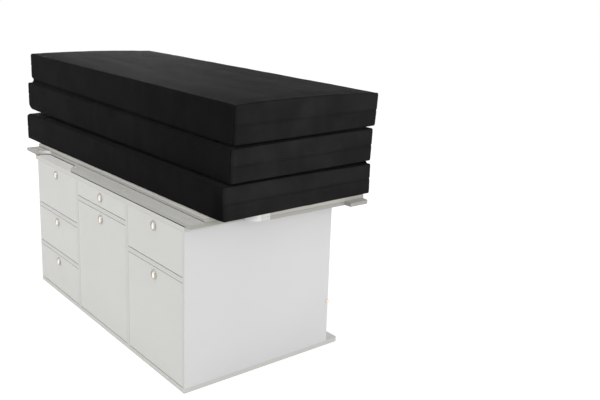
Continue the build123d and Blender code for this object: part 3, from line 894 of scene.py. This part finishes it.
def refined(cover):
    """One level of subdivision, made real."""
    modifier = cover.modifiers.new("finer", "SUBSURF")
    modifier.levels = modifier.render_levels = 1
    seen = cover.evaluated_get(bpy.context.evaluated_depsgraph_get())
    plain = bpy.data.meshes.new_from_object(seen)
    cover.modifiers.clear()
    cover.data = plain


def folds_at(co, kind, seed):
    """How far a kind of slack fold rises or falls at each point, from about -1 to 1."""
    closeness, shift = kind
    start = Vector((seed + shift, 0, 0))
    return np.array([noise.noise(Vector(place * np.array(closeness)) + start) for place in co])


def normals(data):
    """The way out at each point of a mesh."""
    found = np.zeros(len(data.vertices) * 3, np.float32)
    data.vertex_normals.foreach_get("vector", found)
    return found.reshape(-1, 3).astype(float)


SEAM_DEPTH = 0.0018
SEAM_HALF_WIDTH = 0.0030
SEAM_LIP = 0.0006
LIP_ABOVE_SEAM = 0.006
LIP_HALF_WIDTH = 0.003
LOWER_HALF_END = -0.001
WRINKLE_TOP = 0.0022
WRINKLE_SIDE = 0.0010
# Each kind of fold: how closely it lies along x, y and z, and where its noise starts.
LONG_FOLDS = ((1.9, 17.0, 4.0), 0)
UPRIGHT_FOLDS = ((9.0, 9.0, 3.0), 7)
FINE_FOLDS = ((26.0, 26.0, 18.0), 13)
FINE_SHARE = 0.5


def sewn(cover, section):
    """Pulls the seam in, lets the upper half lap a little, and adds slack wrinkles."""
    data = cover.data
    co, out = coordinates(data), normals(data)
    length, depth = section["size"]
    along, across, share = (attribute(data, label) for label in ("along", "across", "share"))
    thick = section["right"][1] - section["right"][0]
    from_seam = (share - 0.5) * thick
    to_side = np.minimum(np.minimum(along, length - along), np.minimum(across, depth - across))
    on_side = np.clip(1 - to_side / EDGE_RADIUS, 0, 1)
    on_end = np.clip(1 - np.minimum(along, length - along) / EDGE_RADIUS, 0, 1)
    groove = np.exp(-((from_seam / SEAM_HALF_WIDTH) ** 2)) * on_end
    lip = np.exp(-(((from_seam - LIP_ABOVE_SEAM) / LIP_HALF_WIDTH) ** 2)) * on_end
    move = -SEAM_DEPTH * groove + SEAM_LIP * lip
    on_top = np.clip(out[:, 2], 0, 1) * (1 - on_side)
    kinds = (LONG_FOLDS, UPRIGHT_FOLDS, FINE_FOLDS)
    long_folds, upright_folds, fine_folds = (folds_at(co, kind, section["seed"]) for kind in kinds)
    side_folds = upright_folds + FINE_SHARE * fine_folds
    move = move + on_top * WRINKLE_TOP * long_folds
    move = move + on_side * WRINKLE_SIDE * side_folds * (1 - groove)
    set_coordinates(data, co + out * move[:, None])
    for label in ("along", "across", "share"):
        data.attributes.remove(data.attributes[label])
    # Marks the lower half of each end, which the cloth paints darker as painted shade.
    lower = data.attributes.new("lower_half", "FLOAT", "POINT")
    lower.data.foreach_set("value", (from_seam < LOWER_HALF_END).astype(np.float32))
    for face in data.polygons:
        face.use_smooth = True


THREADS_PER_METRE = 900.0
THREAD_WANDER = 0.0012
WEAVE_DEPTH = 0.0003
CLOTH_BLACK = (0.0036, 0.0036, 0.0036, 1)
CLOTH_WORN = (0.0050, 0.0050, 0.0050, 1)
# How much darker the lower half of each end is painted, as painted shade.
LOWER_HALF_PAINTED_SHADE = -0.16


def cloth_skin_group():
    """Plain weave seen from each of three sides, with uneven threads, faint creases and lint. Its colour
    carries painted shade in the weave's hollows, painted sheen that lightens the ends, and painted shade on
    their lower halves.
    """
    tree = bpy.data.node_groups.new("woven cloth skin", "ShaderNodeTree")
    given, made = sockets(
        tree,
        [
            ("Colour", "NodeSocketColor", (0.01, 0.01, 0.01, 1)),
            ("Worn colour", "NodeSocketColor", (0.02, 0.02, 0.02, 1)),
            ("Painted end light", "NodeSocketFloat", 1.0),
            ("Lower half", "NodeSocketFloat", 0.0),
            ("Threads per metre", "NodeSocketFloat", 900.0),
            ("Roughness", "NodeSocketFloat", 0.85),
        ],
        SKIN_OUTPUTS,
    )
    place = put(tree, "ShaderNodeTexCoord")
    spot, facing = place.outputs["Object"], place.outputs["Normal"]
    drift = put(tree, "ShaderNodeTexNoise", {"Vector": spot, "Scale": 30.0, "Detail": 2.0})
    wander = scaled(tree, drift.outputs["Color"], THREAD_WANDER)
    wandering = put(tree, "ShaderNodeVectorMath", {0: spot, 1: wander}, operation="ADD")
    threads = scaled(tree, wandering.outputs[0], given["Threads per metre"])
    axes = put(tree, "ShaderNodeSeparateXYZ", {0: threads})
    turns = [math_node(tree, "MULTIPLY", axes.outputs[axis], pi) for axis in range(3)]
    waves = [math_node(tree, "SINE", turn) for turn in turns]
    sides = put(tree, "ShaderNodeSeparateXYZ", {0: facing})
    height = None
    for axis in range(3):
        weave = math_node(tree, "MULTIPLY", waves[(axis + 1) % 3], waves[(axis + 2) % 3])
        share = math_node(tree, "POWER", math_node(tree, "ABSOLUTE", sides.outputs[axis]), 3.0)
        part = math_node(tree, "MULTIPLY", weave, share)
        height = part if height is None else math_node(tree, "ADD", height, part)
    worn = ranged(tree, speckled(tree, spot, 9.0, 5.0, 0.6), 0.42, 0.68, 0.0, 1.0)
    speck = ranged(tree, speckled(tree, spot, 420.0, 3.0), 0.68, 0.76, 0.0, 0.35)
    share = math_node(tree, "MAXIMUM", worn, speck)
    colour = blended(tree, share, given["Colour"], given["Worn colour"])
    # Painted sheen: faces towards the ends are painted lighter.
    end_share = math_node(tree, "POWER", math_node(tree, "ABSOLUTE", sides.outputs[0]), 3.0)
    # Painted shade on the lower half of each end.
    lower_half_shade = math_node(tree, "MULTIPLY_ADD", given["Lower half"], LOWER_HALF_PAINTED_SHADE, 1.0)
    painted_end_light = math_node(tree, "MULTIPLY", given["Painted end light"], lower_half_shade)
    painted_light_factor = math_node(tree, "MULTIPLY_ADD", end_share, painted_end_light, 1.0)
    # Painted shade in the weave's hollows and painted light on its crowns, times the painted light of the
    # ends.
    weave_shade = math_node(tree, "MULTIPLY", math_node(tree, "MULTIPLY_ADD", height, 0.14, 1.0), painted_light_factor)
    rough = math_node(tree, "MULTIPLY_ADD", worn, -0.06, given["Roughness"])
    send(tree, made, scaled(tree, colour, weave_shade), rough, height)
    return tree


cloth_skin = cloth_skin_group()


def cloth(name, colour, worn):
    """Woven cloth whose ends are painted lighter as painted sheen, and painted darker on the lower half of
    each end as painted shade.
    """
    material, tree, shader = start_material(name)
    values = {
        "Colour": colour,
        "Worn colour": worn,
        # How much lighter the ends are painted, as painted sheen.
        "Painted end light": 3.6,
        "Lower half": put(tree, "ShaderNodeAttribute", attribute_name="lower_half").outputs["Fac"],
        "Threads per metre": THREADS_PER_METRE,
        "Roughness": 0.70,
    }
    shader.inputs["Specular IOR Level"].default_value = 0.01
    shader.inputs["Sheen Weight"].default_value = 0.036
    shader.inputs["Sheen Roughness"].default_value = 0.40
    wear(tree, shader, cloth_skin, values, 0.6, WEAVE_DEPTH)
    return material


mattress_cloth = cloth("mattress cloth", CLOTH_BLACK, CLOTH_WORN)
covers = {}
for node, section in SECTIONS.items():
    cover = in_scene(node + "_cover", cover_mesh(node + "_cover", section))
    fill(cover, free_top=node == "mattress_top")
    refined(cover)
    sewn(cover, section)
    cover.data.materials.append(mattress_cloth)
    covers[node] = cover

for node, section in SECTIONS.items():
    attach(covers[node], section["body"])
    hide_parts(node)

# ---- Mattress stitching ----
# One row of thread just above the seam across each end, and one up each corner, where the
# cover's panels were sewn together. The two ends of a stitch dip into the cloth.

STITCH_PITCH = 0.005
STITCH_HALF = 0.0018
STITCH_WIDTH = 0.0005
STITCH_RISE = 0.0004
STITCH_ROW = 0.0048
STITCH_SIDES = 6
STITCH_ROWS = (-1.0, -0.45, 0.45, 1.0)
STITCH_TIP = 0.55
STITCH_SWELL = 0.45
STITCH_DIP = 1.6
STITCH_FLATNESS = 0.7
CORNER_STITCHED = (0.09, 0.92)
CORNER_GAP = 0.09
CAST_FROM = 0.03


def stitch_mesh(name):
    """A short flattened bow of thread."""
    mesh = bmesh.new()
    rows = []
    for share in STITCH_ROWS:
        swell = STITCH_TIP + STITCH_SWELL * (1 - share * share)
        lift = STITCH_RISE * (1 - STITCH_DIP * share * share)
        row = []
        for side in range(STITCH_SIDES):
            angle = 2 * pi * side / STITCH_SIDES
            y = STITCH_WIDTH * swell * cos(angle)
            z = lift + STITCH_FLATNESS * STITCH_WIDTH * swell * sin(angle)
            row.append(mesh.verts.new((share * STITCH_HALF, y, z)))
        rows.append(row)
    for near, far in zip(rows, rows[1:]):
        for side in range(STITCH_SIDES):
            after = (side + 1) % STITCH_SIDES
            mesh.faces.new((near[side], near[after], far[after], far[side]))
    mesh.faces.new(rows[0])
    mesh.faces.new(rows[-1][::-1])
    bmesh.ops.recalc_face_normals(mesh, faces=mesh.faces)
    for face in mesh.faces:
        face.smooth = True
    return stored(mesh, bpy.data.meshes.new(name))


def stitches_tree():
    """Lays a stitch at each point, along its heading and flat on the cloth that it faces."""
    tree = bpy.data.node_groups.new("stitches along a seam", "GeometryNodeTree")
    given, made = sockets(
        tree,
        [
            ("Places", "NodeSocketGeometry", None),
            ("Stitch", "NodeSocketObject", None),
            ("Finish", "NodeSocketMaterial", None),
            ("Shortest", "NodeSocketFloat", 0.85),
            ("Longest", "NodeSocketFloat", 1.05),
            ("Seed", "NodeSocketInt", 5),
        ],
        [("Geometry", "NodeSocketGeometry")],
    )
    stitch = put(tree, "GeometryNodeObjectInfo", {"Object": given["Stitch"]})
    facing = put(tree, "GeometryNodeInputNamedAttribute", {"Name": "facing"}, data_type="FLOAT_VECTOR")
    heading = put(tree, "GeometryNodeInputNamedAttribute", {"Name": "heading"}, data_type="FLOAT_VECTOR")
    flat = put(tree, "FunctionNodeAlignRotationToVector", {"Vector": facing.outputs["Attribute"]}, axis="Z")
    turned = {"Rotation": flat.outputs["Rotation"], "Vector": heading.outputs["Attribute"]}
    ahead = put(tree, "FunctionNodeAlignRotationToVector", turned, axis="X", pivot_axis="Z")
    sizes = {2: given["Shortest"], 3: given["Longest"], "Seed": given["Seed"]}
    size = put(tree, "FunctionNodeRandomValue", sizes, data_type="FLOAT")
    places = {
        "Points": given["Places"],
        "Instance": stitch.outputs["Geometry"],
        "Rotation": ahead.outputs["Rotation"],
        "Scale": size.outputs[1],
    }
    laid_down = put(tree, "GeometryNodeInstanceOnPoints", places)
    return realized(tree, laid_down.outputs["Instances"], given["Finish"], made)


def outward_turn(out):
    """A level direction of a section, in the room's own axes."""
    x = -out[:, 0] * cos(MATTRESS_YAW) - out[:, 1] * sin(MATTRESS_YAW)
    y = -out[:, 0] * sin(MATTRESS_YAW) + out[:, 1] * cos(MATTRESS_YAW)
    return np.stack([x, y, np.zeros(len(out))], axis=1)


def end_seams(section):
    """Even places along the seam across each end, and the way out from each."""
    length, depth = section["size"]
    thick = section["right"][1] - section["right"][0]
    across = np.arange(EDGE_RADIUS, depth - EDGE_RADIUS, STITCH_PITCH)
    share = np.full(len(across), 0.5 + STITCH_ROW / thick)
    seams = []
    for along, way in ((0, -1.0), (length, 1.0)):
        outs = np.repeat([[way, 0.0]], len(across), axis=0)
        seams.append((section_place(section, np.full(len(across), along), across, share), outward_turn(outs)))
    return seams


def corner_seams(section):
    """Even places up each corner of a cover, clear of its mid-height seam."""
    length, depth = section["size"]
    thick = section["right"][1] - section["right"][0]
    shares = np.arange(*CORNER_STITCHED, STITCH_PITCH / thick)
    shares = shares[np.abs(shares - 0.5) > CORNER_GAP]
    seams = []
    for along, across in ((0, 0), (length, 0), (length, depth), (0, depth)):
        out = np.array([[1.0 if along else -1.0, 1.0 if across else -1.0]]) / 2**0.5
        outs = np.repeat(out, len(shares), axis=0)
        places = section_place(section, np.full(len(shares), along), np.full(len(shares), across), shares)
        seams.append((places, outward_turn(outs)))
    return seams


def sew(name, section, cover):
    """Casts each seam's places onto the cover, and lays stitches there."""
    cloth_tree = BVHTree.FromObject(cover, bpy.context.evaluated_depsgraph_get())
    spots, facings, headings = [], [], []
    for places, outs in end_seams(section) + corner_seams(section):
        found, way = [], []
        for place, out in zip(places, outs):
            out = Vector(out)
            spot, facing, _, _ = cloth_tree.ray_cast(Vector(place) + out * CAST_FROM, -out, 2 * CAST_FROM)
            if spot is not None:
                found.append(np.array(spot))
                way.append(np.array(facing))
        spots += found
        facings += way
        headings += list(np.gradient(np.array(found), axis=0))
    base = points_mesh(name, spots)
    for label, values in (("facing", facings), ("heading", headings)):
        kept = base.attributes.new(label, "FLOAT_VECTOR", "POINT")
        kept.data.foreach_set("vector", np.array(values, np.float32).ravel())
    pattern = bpy.data.objects.new(name + "_pattern", stitch_mesh(name + "_pattern"))
    made = grown(name, base, stitches_at, {"Stitch": pattern, "Finish": mattress_thread})
    bpy.data.objects.remove(pattern)
    return made


stitches_at = stitches_tree()
mattress_thread = cloth("mattress thread", (0.0085, 0.0085, 0.0085, 1), (0.0120, 0.0120, 0.0120, 1))
for node, section in SECTIONS.items():
    stitches = sew(node + "_stitches", section, covers[node])
    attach(stitches, section["body"])

# ---- Mattress fold strips ----
# A doubled strip of the same cloth joins the middle section to the top one along the front,
# and another joins it to the bottom one along the back. They are the mattress's hinges.

STRIP_HALF = 0.0007
STRIP_STEP = 0.010
STRIP_PUCKER = 0.0012
PUCKERS_PER_METRE = 45
SEWN_LAP = 0.009
EDGE_LAP = 0.001


def halved(line):
    """Cuts each corner of a line at its quarter points, and keeps its two ends."""
    near, far = 0.75 * line[:-1] + 0.25 * line[1:], 0.25 * line[:-1] + 0.75 * line[1:]
    return np.concatenate([line[:1], np.stack([near, far], axis=1).reshape(-1, 2), line[-1:]])


def strip_mesh(name, first, last, outline):
    """A strip along the sections. outline gives its places across and up at each place along."""
    count = round((last - first) / STRIP_STEP)
    points, faces = [], []
    for step in range(count + 1):
        along = first + (last - first) * step / count
        line = halved(halved(np.array(outline(along))))
        turn = np.gradient(line, axis=0)
        side = np.stack([-turn[:, 1], turn[:, 0]], axis=1)
        side /= np.linalg.norm(side, axis=1, keepdims=True)
        free = np.sin(np.linspace(0, pi, len(line)))
        pucker = [noise.noise(Vector((along * PUCKERS_PER_METRE, share * 1.5, 0))) for share in free]
        line = line + side * (free * pucker * STRIP_PUCKER)[:, None]
        loop = np.concatenate([line + side * STRIP_HALF, (line - side * STRIP_HALF)[::-1]])
        points += laid(along, loop[:, 0], loop[:, 1]).tolist()
    sides = len(loop)
    for step in range(count):
        for side in range(sides):
            near, after = step * sides + side, step * sides + (side + 1) % sides
            faces.append((near, after, after + sides, near + sides))
    for start in (0, count * sides):
        for side in range(sides // 2 - 1):
            faces.append([start + place for place in (side, side + 1, sides - 2 - side, sides - 1 - side)])
    data = bpy.data.meshes.new(name)
    data.from_pydata(points, [], faces)
    mesh = bmesh.new()
    mesh.from_mesh(data)
    bmesh.ops.recalc_face_normals(mesh, faces=mesh.faces)
    stored(mesh, data)
    for face in data.polygons:
        face.use_smooth = True
    data.materials.append(mattress_cloth)
    return data


def height_of(node, along, across, share):
    """How high a section's cover is at a place on the mattress."""
    section = SECTIONS[node]
    shift_x, shift_y = section["shift"]
    return section_place(section, along + shift_x, across - shift_y, share)[2]


def strip_line(lower, upper, across):
    """A strip's places across and up, from just below one edge to just above the other."""
    up = (lower - SEWN_LAP, lower - EDGE_LAP, (lower + upper) / 2, upper + EDGE_LAP, upper + SEWN_LAP)
    return list(zip(across, up))


def front_strip(along):
    """From the middle section's upper front edge to the top section's lower front edge."""
    lower = height_of("mattress_middle", along, 0.015, 1.0)
    upper = height_of("mattress_top", along, 0.024, 0.0)
    return strip_line(lower, upper, (0.0190, 0.0195, 0.0290, 0.0275, 0.0270))


def back_strip(along):
    """From the bottom section's upper back edge to the middle section's lower back edge."""
    lower = height_of("mattress_bottom", along, 0.570, 1.0)
    upper = height_of("mattress_middle", along, 0.563, 0.0)
    return strip_line(lower, upper, (0.5670, 0.5665, 0.5600, 0.5595, 0.5605))


# Each strip: where it begins and ends along the mattress, its line, the bodies below and above,
# and its fold: how far back and how high it lies, how far it climbs to the left, and how far
# the cloth gives way below and above it.
FOLD_STRIPS = {
    "front_fold_strip": (
        (0.090, 1.440),
        front_strip,
        ("mattress_middle_section", "mattress_upper_section"),
        (0.008, 0.745, 0.029, 0.004, 0.004),
    ),
    "back_fold_strip": (
        (0.012, 1.435),
        back_strip,
        ("cabinet", "mattress_middle_section"),
        (0.575, 0.648, 0.0125, 0.008, 0.001),
    ),
}
for name, (reach, outline, bodies, fold) in FOLD_STRIPS.items():
    strip = in_scene(name, strip_mesh(name, *reach, outline))
    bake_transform(strip)

# ---- Stage, light and camera ----
# A pale floor that carries the shadow, a white room with four softboxes, and a camera a
# little above the deck.

CAMERA_PLACE = Vector((2.2969, -1.3012, 1.1434))
CAMERA_FORWARD = Vector((-0.74799, 0.62816, -0.21428))
CAMERA_DOWN = Vector((0.18741, -0.10981, -0.97611))
CAMERA_LENS = 44.47
CAMERA_SHIFT = (-0.0089, -0.0598)

camera_data = bpy.data.cameras.new("camera")
camera_data.lens = CAMERA_LENS
camera_data.sensor_width = 36.0
camera_data.sensor_fit = "HORIZONTAL"
camera_data.shift_x, camera_data.shift_y = CAMERA_SHIFT
camera = in_scene("camera", camera_data)
back = -CAMERA_FORWARD.normalized()
up = -CAMERA_DOWN
right = up.cross(back).normalized()
up = back.cross(right)
camera.matrix_world = Matrix.Translation(CAMERA_PLACE) @ Matrix((right, up, back)).transposed().to_4x4()
bpy.context.scene.camera = camera


def seen_directly(tree):
    """1 for rays from the camera, and for those that a mirror or glass sends on."""
    path = tree.nodes.new("ShaderNodeLightPath")
    first = math_node(tree, "MAXIMUM", path.outputs["Is Camera Ray"], path.outputs["Is Glossy Ray"])
    return math_node(tree, "MAXIMUM", first, path.outputs["Is Transmission Ray"])


FLOOR_HALF = 30.0
floor_mesh = bpy.data.meshes.new("floor")
corners = [(x * FLOOR_HALF, y * FLOOR_HALF, 0) for x, y in ((-1, -1), (1, -1), (1, 1), (-1, 1))]
floor_mesh.from_pydata(corners, [], [(0, 1, 2, 3)])
floor = in_scene("floor", floor_mesh)
floor_material = bpy.data.materials.new("white floor")
floor_material.use_nodes = True
tree = floor_material.node_tree
tree.nodes.clear()
plain = put(tree, "ShaderNodeBsdfDiffuse", {"Color": (0.80, 0.80, 0.80, 1)})
faint = put(tree, "ShaderNodeBsdfDiffuse", {"Color": (0.30, 0.30, 0.30, 1)})
glow = put(tree, "ShaderNodeEmission", {"Color": (1, 1, 1, 1), "Strength": 0.80})
shown = put(tree, "ShaderNodeAddShader", {0: faint.outputs[0], 1: glow.outputs[0]})
mixed = put(tree, "ShaderNodeMixShader", {0: seen_directly(tree), 1: plain.outputs[0], 2: shown.outputs[0]})
output = tree.nodes.new("ShaderNodeOutputMaterial")
tree.links.new(mixed.outputs[0], output.inputs["Surface"])
floor_mesh.materials.append(floor_material)

world = bpy.data.worlds.new("white room")
bpy.context.scene.world = world
world.use_nodes = True
tree = world.node_tree
tree.nodes.clear()
room = put(tree, "ShaderNodeBackground", {"Color": (1, 1, 1, 1), "Strength": 0.70})
white = put(tree, "ShaderNodeBackground", {"Color": (1, 1, 1, 1), "Strength": 1.0})
mixed = put(tree, "ShaderNodeMixShader", {0: seen_directly(tree), 1: room.outputs[0], 2: white.outputs[0]})
output = tree.nodes.new("ShaderNodeOutputWorld")
tree.links.new(mixed.outputs[0], output.inputs["Surface"])

OBJECT_MIDDLE = Vector((0, 0, 0.45))


def softbox(name, place, size, power):
    """A square lamp that faces the middle of the object."""
    lamp = bpy.data.lights.new(name, "AREA")
    lamp.size = size
    lamp.energy = power
    holder = in_scene(name, lamp)
    holder.location = place
    holder.rotation_mode = "QUATERNION"
    holder.rotation_quaternion = (OBJECT_MIDDLE - Vector(place)).to_track_quat("-Z", "Y")


softbox("key", (0.2, -3.8, 1.9), size=2.4, power=18.0)
softbox("right fill", (3.4, 1.2, 1.0), size=2.0, power=28.0)
softbox("overhead", (-0.2, -0.5, 3.6), size=2.6, power=62.0)
softbox("back", (-3.4, 1.5, 1.1), size=1.2, power=18.0)

bpy.context.scene.view_settings.view_transform = "Standard"
